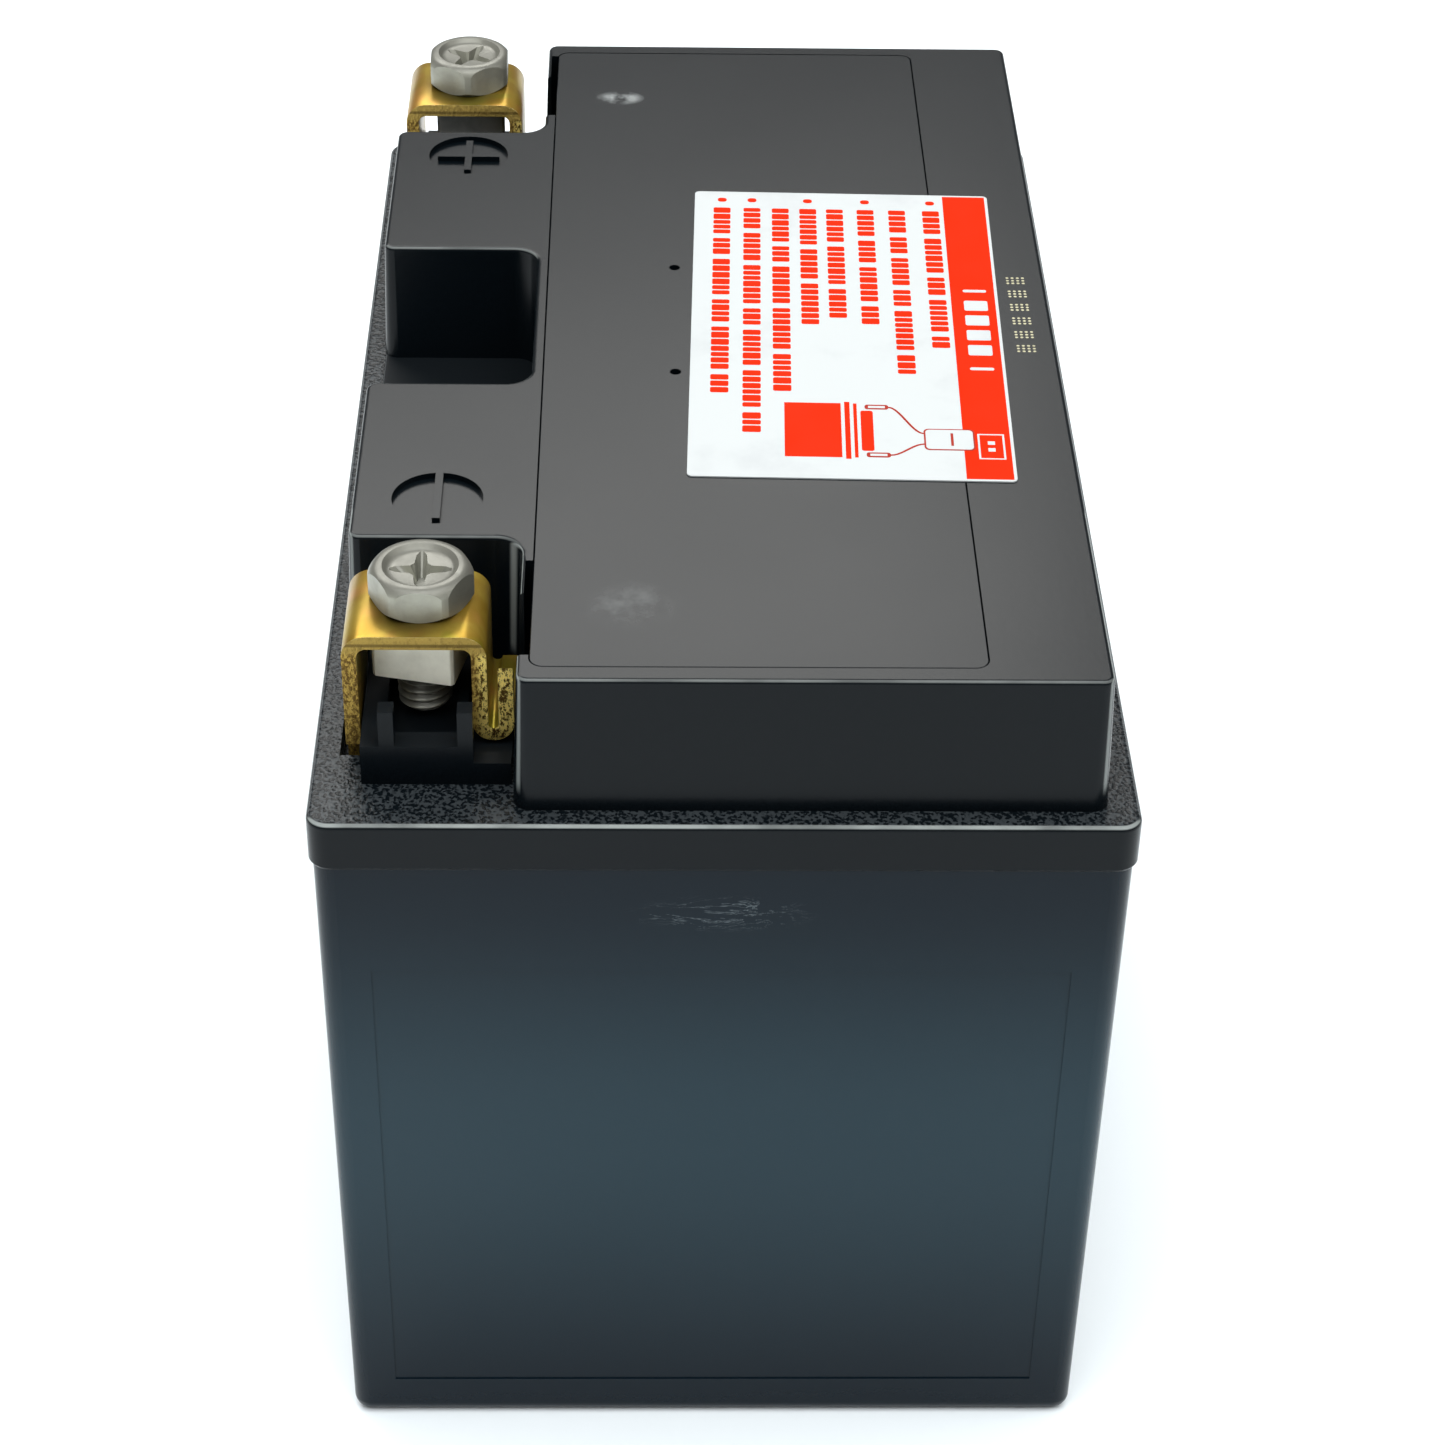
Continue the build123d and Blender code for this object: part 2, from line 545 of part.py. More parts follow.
def make_separators(cell):
    """One glass mat folded round the foot of each positive plate."""
    mats = []
    for offset in stack_offsets()[0]:
        x = cell_x(cell) + offset
        inner = POSITIVE_THICK / 2
        outer = inner + MAT_THICK
        half_y = PLATE_WIDTH / 2 + 0.5
        wrap = box(x - outer, x + outer, -half_y, half_y, FLOOR, MAT_TOP_Z)
        wrap -= box(x - inner, x + inner, -half_y - 1, half_y + 1, FLOOR + MAT_THICK, MAT_TOP_Z + 1)
        mats.append(wrap)
    return Compound(children=mats)


def make_strap(cell, positive):
    """Cast strap over one set of lugs, with an upright lug against the partition it joins."""
    x = cell_x(cell)
    side = positive_side(cell) if positive else -positive_side(cell)
    half_x = CELL_SPACE / 2 - 0.6
    low_y = min(side * STRAP_INNER_Y, side * STRAP_OUTER_Y)
    high_y = max(side * STRAP_INNER_Y, side * STRAP_OUTER_Y)
    strap = box(x - half_x, x + half_x, low_y, high_y, STRAP_LOW_Z, STRAP_HIGH_Z)
    towards = -1 if positive else 1
    at_end = (positive and cell == 0) or (not positive and cell == CELLS - 1)
    if not at_end:
        wall_x = x + towards * CELL_SPACE / 2
        back_x = wall_x - towards * WELD_LUG_THICK
        low_lug_y = side * LUG_Y - WELD_LUG_WIDTH / 2
        strap += box(
            min(wall_x, back_x), max(wall_x, back_x),
            low_lug_y, low_lug_y + WELD_LUG_WIDTH, STRAP_LOW_Z, WELD_LUG_TOP_Z,
        )
    return strap


def make_intercell_welds():
    """Fused slug through each partition, between two neighbouring straps."""
    slugs = []
    for index in range(CELLS - 1):
        side = -positive_side(index)
        slug = Rot(0, 90, 0) * Cylinder(WELD_R - 0.05, PARTITION)
        slugs.append(Pos(partition_x(index), side * LUG_Y, WELD_Z) * slug)
    return Compound(children=slugs)


def all_parts():
    parts = {
        "container": make_container(),
        "cover": make_cover(),
        "valve_cover": make_valve_cover(),
        "vent_filters": make_vent_filters(),
        "caution_label": make_label(),
        "intercell_welds": make_intercell_welds(),
    }
    ends = {
        "positive": (POSITIVE_X, POSITIVE_HEAD_TURN, POSITIVE_NUT_TURN),
        "negative": (NEGATIVE_X, NEGATIVE_HEAD_TURN, NEGATIVE_NUT_TURN),
    }
    for name, (x, head_turn, nut_turn) in ends.items():
        parts[f"{name}_terminal"] = make_terminal(x)
        parts[f"{name}_bolt"] = make_bolt(x, head_turn)
        parts[f"{name}_nut"] = make_nut(x, nut_turn)
        parts[f"{name}_post"] = make_post(x)
        parts[f"{name}_post_seal"] = make_post_seal(x)
    for cell in range(CELLS):
        number = cell + 1
        parts[f"valve_cap_{number}"] = make_valve_cap(cell)
        parts[f"separators_{number}"] = make_separators(cell)
        parts[f"positive_plates_{number}"] = make_plates(cell, True)
        parts[f"negative_plates_{number}"] = make_plates(cell, False)
        parts[f"positive_strap_{number}"] = make_strap(cell, True)
        parts[f"negative_strap_{number}"] = make_strap(cell, False)
    return parts


os.makedirs("parts", exist_ok=True)
for part_name, shape in all_parts().items():
    export_step(shape, f"parts/{part_name}.step")
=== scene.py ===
import math
import random

import bmesh
import bpy
from mathutils import Matrix, Vector


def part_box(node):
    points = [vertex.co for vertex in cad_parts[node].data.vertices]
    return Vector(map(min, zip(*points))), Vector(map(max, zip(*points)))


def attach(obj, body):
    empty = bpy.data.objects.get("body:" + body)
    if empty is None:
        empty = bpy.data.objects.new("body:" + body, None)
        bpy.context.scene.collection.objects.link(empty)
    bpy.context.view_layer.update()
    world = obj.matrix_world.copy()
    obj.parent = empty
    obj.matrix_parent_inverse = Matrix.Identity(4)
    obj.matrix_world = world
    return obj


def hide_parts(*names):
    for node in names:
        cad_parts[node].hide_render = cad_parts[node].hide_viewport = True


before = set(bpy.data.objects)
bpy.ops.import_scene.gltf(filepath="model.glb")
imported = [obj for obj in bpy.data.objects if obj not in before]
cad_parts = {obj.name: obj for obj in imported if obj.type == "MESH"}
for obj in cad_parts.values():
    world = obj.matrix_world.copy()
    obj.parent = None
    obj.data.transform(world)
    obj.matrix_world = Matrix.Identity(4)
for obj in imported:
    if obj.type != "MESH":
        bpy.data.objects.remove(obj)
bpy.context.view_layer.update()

MM = 0.001
ROOT = "battery"

# --- places read from the frame -------------------------------------------------------
LABEL_LOW, LABEL_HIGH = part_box("caution_label")
END_FACE_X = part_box("container")[1].x
TOP_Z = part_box("cover")[1].z
DECK_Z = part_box("container")[1].z + 6.1 * MM     # the ledge lies one rim height above the container
STRIP_TOP_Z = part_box("negative_terminal")[1].z
ENDS = ("positive", "negative")


# --- small helpers --------------------------------------------------------------------
class Graph:
    """A material's node tree, with short calls for the nodes that this object needs."""

    def __init__(self, name):
        self.material = bpy.data.materials.new(name)
        self.material.use_nodes = True
        self.tree = self.material.node_tree
        self.tree.nodes.clear()
        self.output = self.tree.nodes.new("ShaderNodeOutputMaterial")
        self.bsdf = self.add("ShaderNodeBsdfPrincipled")
        self.tree.links.new(self.bsdf.outputs["BSDF"], self.output.inputs["Surface"])
        coordinates = self.add("ShaderNodeTexCoord")
        self.place = coordinates.outputs["Object"]
        self.normal = coordinates.outputs["Normal"]

    def add(self, kind, inputs=None, **settings):
        node = self.tree.nodes.new(kind)
        for key, value in settings.items():
            setattr(node, key, value)
        for key, value in (inputs or {}).items():
            self.feed(node.inputs[key], value)
        return node

    def feed(self, socket, value):
        if isinstance(value, bpy.types.NodeSocket):
            self.tree.links.new(value, socket)
        else:
            socket.default_value = value

    def math(self, operation, a, b=0.0, clamp=False):
        node = self.add("ShaderNodeMath", {0: a, 1: b}, operation=operation, use_clamp=clamp)
        return node.outputs[0]

    def product(self, first, *others):
        for other in others:
            first = self.math("MULTIPLY", first, other)
        return first

    def span(self, value, from_low, from_high, to_low=0.0, to_high=1.0):
        inputs = {
            "Value": value, "From Min": from_low, "From Max": from_high,
            "To Min": to_low, "To Max": to_high,
        }
        node = self.add("ShaderNodeMapRange", inputs, interpolation_type="SMOOTHSTEP")
        return node.outputs["Result"]

    def noise(self, size, detail=3.0, roughness=0.5, stretch=(1, 1, 1), distortion=0.0):
        """Noise whose features are about size metres across."""
        place = self.add("ShaderNodeMapping", {"Vector": self.place, "Scale": stretch}).outputs[0]
        inputs = {
            "Vector": place, "Scale": 1 / size, "Detail": detail,
            "Roughness": roughness, "Distortion": distortion,
        }
        return self.add("ShaderNodeTexNoise", inputs).outputs["Fac"]

    def colour(self, factor, low, high):
        node = self.add("ShaderNodeMix", data_type="RGBA")
        self.feed(node.inputs["Factor"], factor)
        self.feed(node.inputs["A"], (*low, 1) if isinstance(low, tuple) else low)
        self.feed(node.inputs["B"], (*high, 1) if isinstance(high, tuple) else high)
        return node.outputs["Result"]

    def axis(self, vector, name):
        return self.add("ShaderNodeSeparateXYZ", {0: vector}).outputs[name]

    def bump(self, height, distance, normal=None):
        inputs = {"Height": height, "Distance": distance, "Strength": 1.0}
        if normal is not None:
            inputs["Normal"] = normal
        return self.add("ShaderNodeBump", inputs).outputs["Normal"]

    def spot(self, centre, radii):
        """1 at the centre of an ellipsoid, falling to 0 at its surface."""
        offset = self.add("ShaderNodeVectorMath", {0: self.place, 1: centre}, operation="SUBTRACT")
        scaled = self.add("ShaderNodeVectorMath", {0: offset.outputs[0], 1: radii}, operation="DIVIDE")
        length = self.add("ShaderNodeVectorMath", {0: scaled.outputs[0]}, operation="LENGTH")
        return self.span(length.outputs["Value"], 1.0, 0.25)

    def finish(self, **inputs):
        for key, value in inputs.items():
            self.feed(self.bsdf.inputs[key.replace("_", " ")], value)
        return self.material


def link(obj):
    bpy.context.scene.collection.objects.link(obj)
    return obj


def mesh_piece(name, bm, material, sharp_deg=35):
    """Turns a bmesh into an object, smooth except at edges sharper than sharp_deg."""
    bmesh.ops.recalc_face_normals(bm, faces=bm.faces)
    for face in bm.faces:
        face.smooth = True
    limit = math.radians(sharp_deg)
    for edge in bm.edges:
        if len(edge.link_faces) == 2:
            edge.smooth = edge.calc_face_angle(0) < limit
    mesh = bpy.data.meshes.new(name)
    bm.to_mesh(mesh)
    bm.free()
    mesh.materials.append(material)
    return link(bpy.data.objects.new(name, mesh))


def apply_modifiers(obj):
    """Bakes an object's modifiers into its mesh."""
    graph = bpy.context.evaluated_depsgraph_get()
    mesh = bpy.data.meshes.new_from_object(obj.evaluated_get(graph))
    obj.modifiers.clear()
    obj.data = mesh
    return obj


def combine(obj, other, operation):
    """Boolean of two closed meshes; the second one is used up."""
    modifier = obj.modifiers.new("combine", "BOOLEAN")
    modifier.object = other
    modifier.operation = operation
    modifier.solver = "EXACT"
    bpy.context.view_layer.update()
    apply_modifiers(obj)
    bpy.data.objects.remove(other)
    return obj


def bevelled(obj, width, segments=2, angle_deg=30, sharp_deg=35):
    """Rounds an object's sharp edges and sets its shading."""
    modifier = obj.modifiers.new("edges", "BEVEL")
    modifier.width = width
    modifier.segments = segments
    modifier.limit_method = "ANGLE"
    modifier.angle_limit = math.radians(angle_deg)
    modifier.use_clamp_overlap = True
    bpy.context.view_layer.update()
    apply_modifiers(obj)
    bm = bmesh.new()
    bm.from_mesh(obj.data)
    limit = math.radians(sharp_deg)
    for face in bm.faces:
        face.smooth = True
    for edge in bm.edges:
        if len(edge.link_faces) == 2:
            edge.smooth = edge.calc_face_angle(0) < limit
    bm.to_mesh(obj.data)
    bm.free()
    return obj


def lathe(name, profile, segments=64):
    """Closed solid of revolution from (radius, height) points, listed from the axis out and back."""
    bm = bmesh.new()
    rings = []
    for radius, height in profile:
        if radius == 0:
            rings.append([bm.verts.new((0, 0, height))])
            continue
        rings.append([
            bm.verts.new((
                radius * math.cos(2 * math.pi * index / segments),
                radius * math.sin(2 * math.pi * index / segments),
                height,
            ))
            for index in range(segments)
        ])
    for low, high in zip(rings, rings[1:]):
        for index in range(segments):
            after = (index + 1) % segments
            corners = [low[index % len(low)], low[after % len(low)],
                       high[after % len(high)], high[index % len(high)]]
            unique = list(dict.fromkeys(corners))
            if len(unique) > 2:
                bm.faces.new(unique)
    bmesh.ops.recalc_face_normals(bm, faces=bm.faces)
    mesh = bpy.data.meshes.new(name)
    bm.to_mesh(mesh)
    bm.free()
    return link(bpy.data.objects.new(name, mesh))


def prism(name, outline, low_z, high_z, low_scale=(1.0, 1.0)):
    """Upright prism over a list of (x, y) points, with its foot scaled about the axis."""
    bm = bmesh.new()
    low = [bm.verts.new((x * low_scale[0], y * low_scale[1], low_z)) for x, y in outline]
    high = [bm.verts.new((x, y, high_z)) for x, y in outline]
    bm.faces.new(low)
    bm.faces.new(high)
    for index in range(len(outline)):
        after = (index + 1) % len(outline)
        bm.faces.new([low[index], low[after], high[after], high[index]])
    bmesh.ops.recalc_face_normals(bm, faces=bm.faces)
    mesh = bpy.data.meshes.new(name)
    bm.to_mesh(mesh)
    bm.free()
    return link(bpy.data.objects.new(name, mesh))


# --- materials ------------------------------------------------------------------------
BLACK = (0.0015, 0.0030, 0.0045)
BLACK_WORN = (0.0025, 0.0045, 0.0060)
BLUE_BLACK = (0.0015, 0.006, 0.011)
BLUE_BLACK_WORN = (0.0025, 0.008, 0.014)
REFLECTION_BAND_COLOUR = (0.017, 0.037, 0.050)     # painted reflection: a paler band across the middle of the container's walls
GRAIN_WORN = (0.055, 0.064, 0.070)
PAINTED_EDGE_HIGHLIGHT = (0.34, 0.37, 0.36)     # painted highlight along the rounded edges of the plastic
# painted shade for the side of the bolts and nuts that faces +Y
PAINTED_SIDE_SHADE = (0.05, 0.05, 0.04)
NEAR_BLOCK_X = 40.0 * MM          # beyond this lie only the near block's own corners
HOOK_LEG_Y = -25.2 * MM           # beyond this lie the hook and the leg that carries it
REFLECTION_BAND_LOW_Z = (0.002, 0.046)      # where the painted reflection band rises from nothing to full
REFLECTION_BAND_HIGH_Z = (0.086, 0.049)     # where it falls back to nothing, read downwards


def level(graph):
    """1 on level faces that look up, 0 on slopes and walls."""
    return graph.span(graph.axis(graph.normal, "Z"), 0.75, 0.97)


def ledge_mask(graph):
    """1 on the level ledge around the blocks, 0 elsewhere."""
    height = graph.axis(graph.place, "Z")
    low = graph.span(height, DECK_Z - 0.6 * MM, DECK_Z - 0.2 * MM)
    high = graph.span(height, DECK_Z + 0.3 * MM, DECK_Z + 0.1 * MM)
    return graph.product(low, high, level(graph))


def recess_mask(graph):
    """1 on level faces that lie between the ledge and the tops of the blocks, 0 elsewhere."""
    height = graph.axis(graph.place, "Z")
    above = graph.span(height, DECK_Z + 0.2 * MM, DECK_Z + 0.4 * MM)
    below = graph.span(height, TOP_Z - 1.0 * MM, TOP_Z - 2.0 * MM)
    return graph.product(above, below, level(graph))


def lip_highlight_mask(graph, top_z, radius):
    """1 on a rounded top edge that faces an end, where a highlight is painted."""
    height = graph.axis(graph.place, "Z")
    facing = graph.axis(graph.normal, "Z")
    turned = graph.product(graph.span(facing, 0.45, 0.68), graph.span(facing, 0.975, 0.88))
    at_end = graph.span(graph.math("ABSOLUTE", graph.axis(graph.normal, "X")), 0.12, 0.35)
    above = graph.span(height, top_z - radius - 0.05 * MM, top_z - radius)
    below = graph.span(height, top_z + 0.05 * MM, top_z)
    patchy = graph.span(graph.noise(0.010, 3), 0.30, 0.62, 0.45, 1.0)
    return graph.product(turned, at_end, above, below, patchy)


def corner_highlight_mask(graph):
    """1 along the upright rounded corners of the near block, where a highlight is painted."""
    across = graph.math("ABSOLUTE", graph.axis(graph.normal, "Y"))
    turned = graph.product(graph.span(across, 0.50, 0.66), graph.span(across, 0.88, 0.74))
    near = graph.span(graph.axis(graph.place, "X"), NEAR_BLOCK_X, NEAR_BLOCK_X + 1.0 * MM)
    above = graph.span(graph.axis(graph.place, "Z"), DECK_Z + 1.5 * MM, DECK_Z + 3.5 * MM)
    return graph.product(turned, near, above)


def leather(graph):
    """Fine leather grain: small cells broken up by folds."""
    warp = graph.math("MULTIPLY", graph.noise(0.0010, 2, 0.6), 0.0007)
    warped = graph.add("ShaderNodeVectorMath", {0: graph.place, 1: warp}, operation="ADD").outputs[0]
    inputs = {"Vector": warped, "Scale": 2300.0}
    cells = graph.add("ShaderNodeTexVoronoi", inputs, feature="SMOOTH_F1").outputs["Distance"]
    return graph.math("ADD", cells, graph.noise(0.00035, 2, 0.6))


def moulded_plastic(name, light, dark, ior, grained=False, reflection_band=False, scuffs=(), marks=()):
    """Black polypropylene: satin, faintly mottled, with leather grain on the ledge."""
    graph = Graph(name)
    broad = graph.noise(0.035, 3)
    base = graph.colour(broad, light, dark)
    rough = graph.span(broad, 0.3, 0.7, 0.250, 0.268)
    normal = graph.bump(graph.noise(0.0006, 2), 0.000006)
    # painted reflection: the walls are paler across their middle, where the lit floor's reflection falls
    if reflection_band:
        height = graph.math("ADD", graph.axis(graph.place, "Z"), graph.product(broad, 0.003))
        reflection_band_mask = graph.product(graph.span(height, *REFLECTION_BAND_LOW_Z), graph.span(height, *REFLECTION_BAND_HIGH_Z))
        base = graph.colour(reflection_band_mask, base, REFLECTION_BAND_COLOUR)
    if grained:
        ledge = ledge_mask(graph)
        rough = graph.math("ADD", rough, graph.product(recess_mask(graph), 0.35))
        grain = leather(graph)
        normal = graph.bump(graph.product(grain, ledge), 0.00007, normal)
        worn = graph.product(ledge, graph.span(grain, 0.80, 1.10), 0.5)
        base = graph.colour(worn, base, GRAIN_WORN)
        # painted highlights on the rounded lips of the ledge and the block tops, and on the near block's
        # upright corners
        ledge_lip_highlight = graph.product(lip_highlight_mask(graph, DECK_Z, 0.7 * MM), 0.8)
        block_lip_highlight = graph.product(lip_highlight_mask(graph, TOP_Z, 0.5 * MM), 0.35)
        base = graph.colour(graph.math("MAXIMUM", ledge_lip_highlight, block_lip_highlight), base, PAINTED_EDGE_HIGHLIGHT)
        base = graph.colour(graph.product(corner_highlight_mask(graph), 0.5), base, PAINTED_EDGE_HIGHLIGHT)
    for centre, radii, amount in marks:
        streak = graph.span(graph.noise(0.0030, 3, 0.6), 0.35, 0.75)
        mark = graph.product(graph.spot(centre, radii), streak, amount)
        base = graph.colour(mark, base, (0.42, 0.45, 0.45))
    for centre, radii, amount in scuffs:
        line = graph.noise(0.0035, 5, 0.75, (1, 0.35, 1.6), 0.6)
        hair = graph.span(graph.math("ABSOLUTE", graph.math("SUBTRACT", line, 0.5)), 0.012, 0.002)
        scuff = graph.product(hair, graph.spot(centre, radii), amount)
        base = graph.colour(scuff, base, (0.20, 0.24, 0.26))
    return graph.finish(Base_Color=base, Roughness=rough, Normal=normal, IOR=ior)


def head_shade(graph, base, end):
    """Painted shade and dark reflection of one bolt's head on the plating round it."""
    low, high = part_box(f"{end}_bolt")
    centre = (low + high) / 2 + Vector((1.5 * MM, -0.8 * MM, 0))
    ring = graph.spot((centre.x, centre.y, STRIP_TOP_Z), (9.5 * MM, 6.8 * MM, 4.0 * MM))
    # painted shade: a dark olive ring round the head
    return graph.colour(graph.product(ring, 0.95), base, (0.035, 0.029, 0.007))


def sheared_edge(graph, grit):
    """Colour of the strip's cut faces: clean with one dark line along its top, gritty on its legs."""
    height = graph.axis(graph.place, "Z")
    legs = graph.colour(graph.span(grit, 0.42, 0.58), (0.52, 0.35, 0.08), (0.15, 0.085, 0.02))
    torn = graph.colour(graph.span(grit, 0.48, 0.56), (1.0, 0.78, 0.22), (0.10, 0.055, 0.013))
    by_hook = graph.span(graph.axis(graph.place, "Y"), HOOK_LEG_Y - 1.0 * MM, HOOK_LEG_Y)
    legs = graph.colour(by_hook, legs, torn)
    from_line = graph.math("ABSOLUTE", graph.math("SUBTRACT", height, STRIP_TOP_Z - 1.1 * MM))
    line = graph.product(graph.span(from_line, 0.28 * MM, 0.10 * MM), 0.8)
    bar = graph.colour(line, (0.46, 0.32, 0.08), (0.15, 0.095, 0.025))
    bar = graph.colour(graph.span(grit, 0.50, 0.62, 0.0, 0.35), bar, (0.18, 0.11, 0.03))
    return graph.colour(graph.span(height, STRIP_TOP_Z - 2.7 * MM, STRIP_TOP_Z - 1.7 * MM), legs, bar)


def passivated_steel():
    """Yellow zinc passivation: gold with olive and orange drift, raw and gritty on the cut faces."""
    graph = Graph("yellow_passivated_steel")
    drift = graph.noise(0.005, 3, 0.5, distortion=0.5)
    hue = graph.noise(0.007, 2)
    base = graph.colour(graph.span(drift, 0.35, 0.65), (0.28, 0.17, 0.020), (0.36, 0.255, 0.040))
    base = graph.colour(graph.span(hue, 0.54, 0.66, 0, 0.65), base, (0.22, 0.20, 0.018))
    base = graph.colour(graph.span(hue, 0.46, 0.34, 0, 0.65), base, (0.40, 0.19, 0.045))
    for end in ENDS:
        base = head_shade(graph, base, end)
    side = graph.axis(graph.normal, "X")
    sheared = graph.span(graph.math("ABSOLUTE", side), 0.80, 0.95)
    grit = graph.noise(0.00032, 4, 0.7, (1, 1, 0.6))
    base = graph.colour(sheared, base, sheared_edge(graph, grit))
    # painted highlight: pale gold along the strip's rounded top edge
    on_top = graph.span(graph.axis(graph.place, "Z"), STRIP_TOP_Z - 1.3 * MM, STRIP_TOP_Z - 0.9 * MM)
    rim_highlight = graph.product(graph.span(side, 0.15, 0.30), graph.span(side, 0.97, 0.88), on_top)
    base = graph.colour(rim_highlight, base, (0.95, 0.88, 0.55))
    rough = graph.math("ADD", graph.span(drift, 0.3, 0.7, 0.28, 0.33), graph.product(sheared, 0.10))
    normal = graph.bump(graph.noise(0.0009, 3), 0.000008)
    normal = graph.bump(graph.product(grit, sheared), 0.0003, normal)
    return graph.finish(Base_Color=base, Roughness=rough, Normal=normal, Metallic=0.6, IOR=1.2)


def zinc(name, light, dark, shaded_top, rough_low, rough_high, metallic):
    """Zinc plating, part bright metal and part oxide, with faint staining, painted shade on the faces
    that look up and on the side facing +Y.
    """
    graph = Graph(name)
    stain = graph.noise(0.003, 4, 0.6)
    base = graph.colour(graph.span(stain, 0.35, 0.7), light, dark)
    # painted shade: faces that look up are darkened
    upper = graph.span(graph.axis(graph.normal, "Z"), 0.15, 0.92, 0.0, 0.9)
    base = graph.colour(upper, base, shaded_top)
    # painted shade on the side that faces +Y
    shaded_side = graph.span(graph.axis(graph.normal, "Y"), 0.30, 0.85, 0.0, 0.6)
    base = graph.colour(shaded_side, base, PAINTED_SIDE_SHADE)
    rough = graph.span(graph.noise(0.002, 3), 0.3, 0.7, rough_low, rough_high)
    normal = graph.bump(graph.noise(0.0005, 3, 0.6), 0.000016)
    return graph.finish(Base_Color=base, Roughness=rough, Normal=normal, Metallic=metallic)


def printed_film(name, light, dark, rough=0.42):
    """Laminated label print: faint soiling and a slightly uneven gloss."""
    graph = Graph(name)
    soil = graph.span(graph.noise(0.012, 4, 0.65), 0.52, 0.78)
    base = graph.colour(soil, light, dark)
    gloss = graph.span(graph.noise(0.006, 2), 0.3, 0.7, rough - 0.04, rough + 0.05)
    normal = graph.bump(graph.noise(0.004, 2), 0.00001)
    return graph.finish(Base_Color=base, Roughness=gloss, Normal=normal, IOR=1.06)


def dull(name, light, dark, size, rough, metallic=0.0, depth=0.00005):
    """Plain procedural finish for the sealed inner pieces."""
    graph = Graph(name)
    pattern = graph.noise(size, 4, 0.6)
    base = graph.colour(graph.span(pattern, 0.35, 0.65), light, dark)
    roughness = graph.span(pattern, 0.3, 0.7, rough - 0.06, rough + 0.06)
    return graph.finish(
        Base_Color=base, Roughness=roughness, Metallic=metallic, Normal=graph.bump(pattern, depth)
    )


def dress(node, material):
    """Gives a CAD node its material."""
    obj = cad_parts[node]
    obj.data.materials.clear()
    obj.data.materials.append(material)


# --- bolts ----------------------------------------------------------------------------
HEAD_FLATS = 10.0 * MM
HEAD_HEIGHT = 4.0 * MM
HEAD_CORNER_R = 5.55 * MM
BOLT_LENGTH = 13.5 * MM
THREAD_PITCH = 1.0 * MM
THREAD_R = 2.93 * MM
THREAD_DEPTH = 0.55 * MM
DISH_R = 3.9 * MM
CROSS_REACH = 4.0 * MM
CROSS_TURN = -30


def bolt_head():
    """Hexagon head with a rounded crown, a shallow dish and a cross recess. The strip's top is z = 0."""
    corner = HEAD_FLATS / math.sqrt(3)
    angles = [math.radians(60 * k) for k in range(6)]
    outline = [(corner * math.cos(angle), corner * math.sin(angle)) for angle in angles]
    head = prism("bolt_head", outline, 0.0, HEAD_HEIGHT)
    crown_steps = ((0.0, 1.1), (0.10, 0.82), (0.28, 0.52), (0.55, 0.24), (0.85, 0.07), (1.15, 0.0))
    crown = lathe("crown", [
        (0, -1 * MM), (HEAD_CORNER_R - 1.5 * MM, -1 * MM), (HEAD_CORNER_R - 0.55 * MM, 0.0),
        (HEAD_CORNER_R, 0.55 * MM),
        *((HEAD_CORNER_R - inward * MM, HEAD_HEIGHT - drop * MM) for inward, drop in crown_steps),
        (0, HEAD_HEIGHT),
    ], 96)
    head = combine(head, crown, "INTERSECT")
    dish_steps = ((-0.95, 0.62), (-0.50, 0.56), (-0.25, 0.40), (-0.06, 0.14), (0.12, 0.0))
    dish = lathe("dish", [
        (0, HEAD_HEIGHT - 0.66 * MM),
        *((DISH_R + outward * MM, HEAD_HEIGHT - drop * MM) for outward, drop in dish_steps),
        (DISH_R + 0.3 * MM, HEAD_HEIGHT + 1 * MM), (0, HEAD_HEIGHT + 1 * MM),
    ], 72)
    head = combine(head, dish, "DIFFERENCE")
    arm = [(1.0, 0.04), (0.82, 0.15), (0.35, 0.20), (-0.35, 0.20), (-0.82, 0.15), (-1.0, 0.04),
           (-1.0, -0.04), (-0.82, -0.15), (-0.35, -0.20), (0.35, -0.20), (0.82, -0.15), (1.0, -0.04)]
    arm = [(u * CROSS_REACH, v * CROSS_REACH) for u, v in arm]
    for turn in (0, 90):
        slot = prism("slot", arm, HEAD_HEIGHT - 2.6 * MM, HEAD_HEIGHT + 0.1 * MM, (0.30, 0.55))
        slot.data.transform(Matrix.Rotation(math.radians(turn + CROSS_TURN), 4, "Z"))
        head = combine(head, slot, "DIFFERENCE")
    flare = lathe("flare", [
        (0, HEAD_HEIGHT - 2.5 * MM), (0.65 * MM, HEAD_HEIGHT - 2.4 * MM),
        (1.35 * MM, HEAD_HEIGHT - 0.5 * MM), (1.35 * MM, HEAD_HEIGHT), (0, HEAD_HEIGHT),
    ], 32)
    head = combine(head, flare, "DIFFERENCE")
    return bevelled(head, 0.06 * MM, 2, 28, 40)


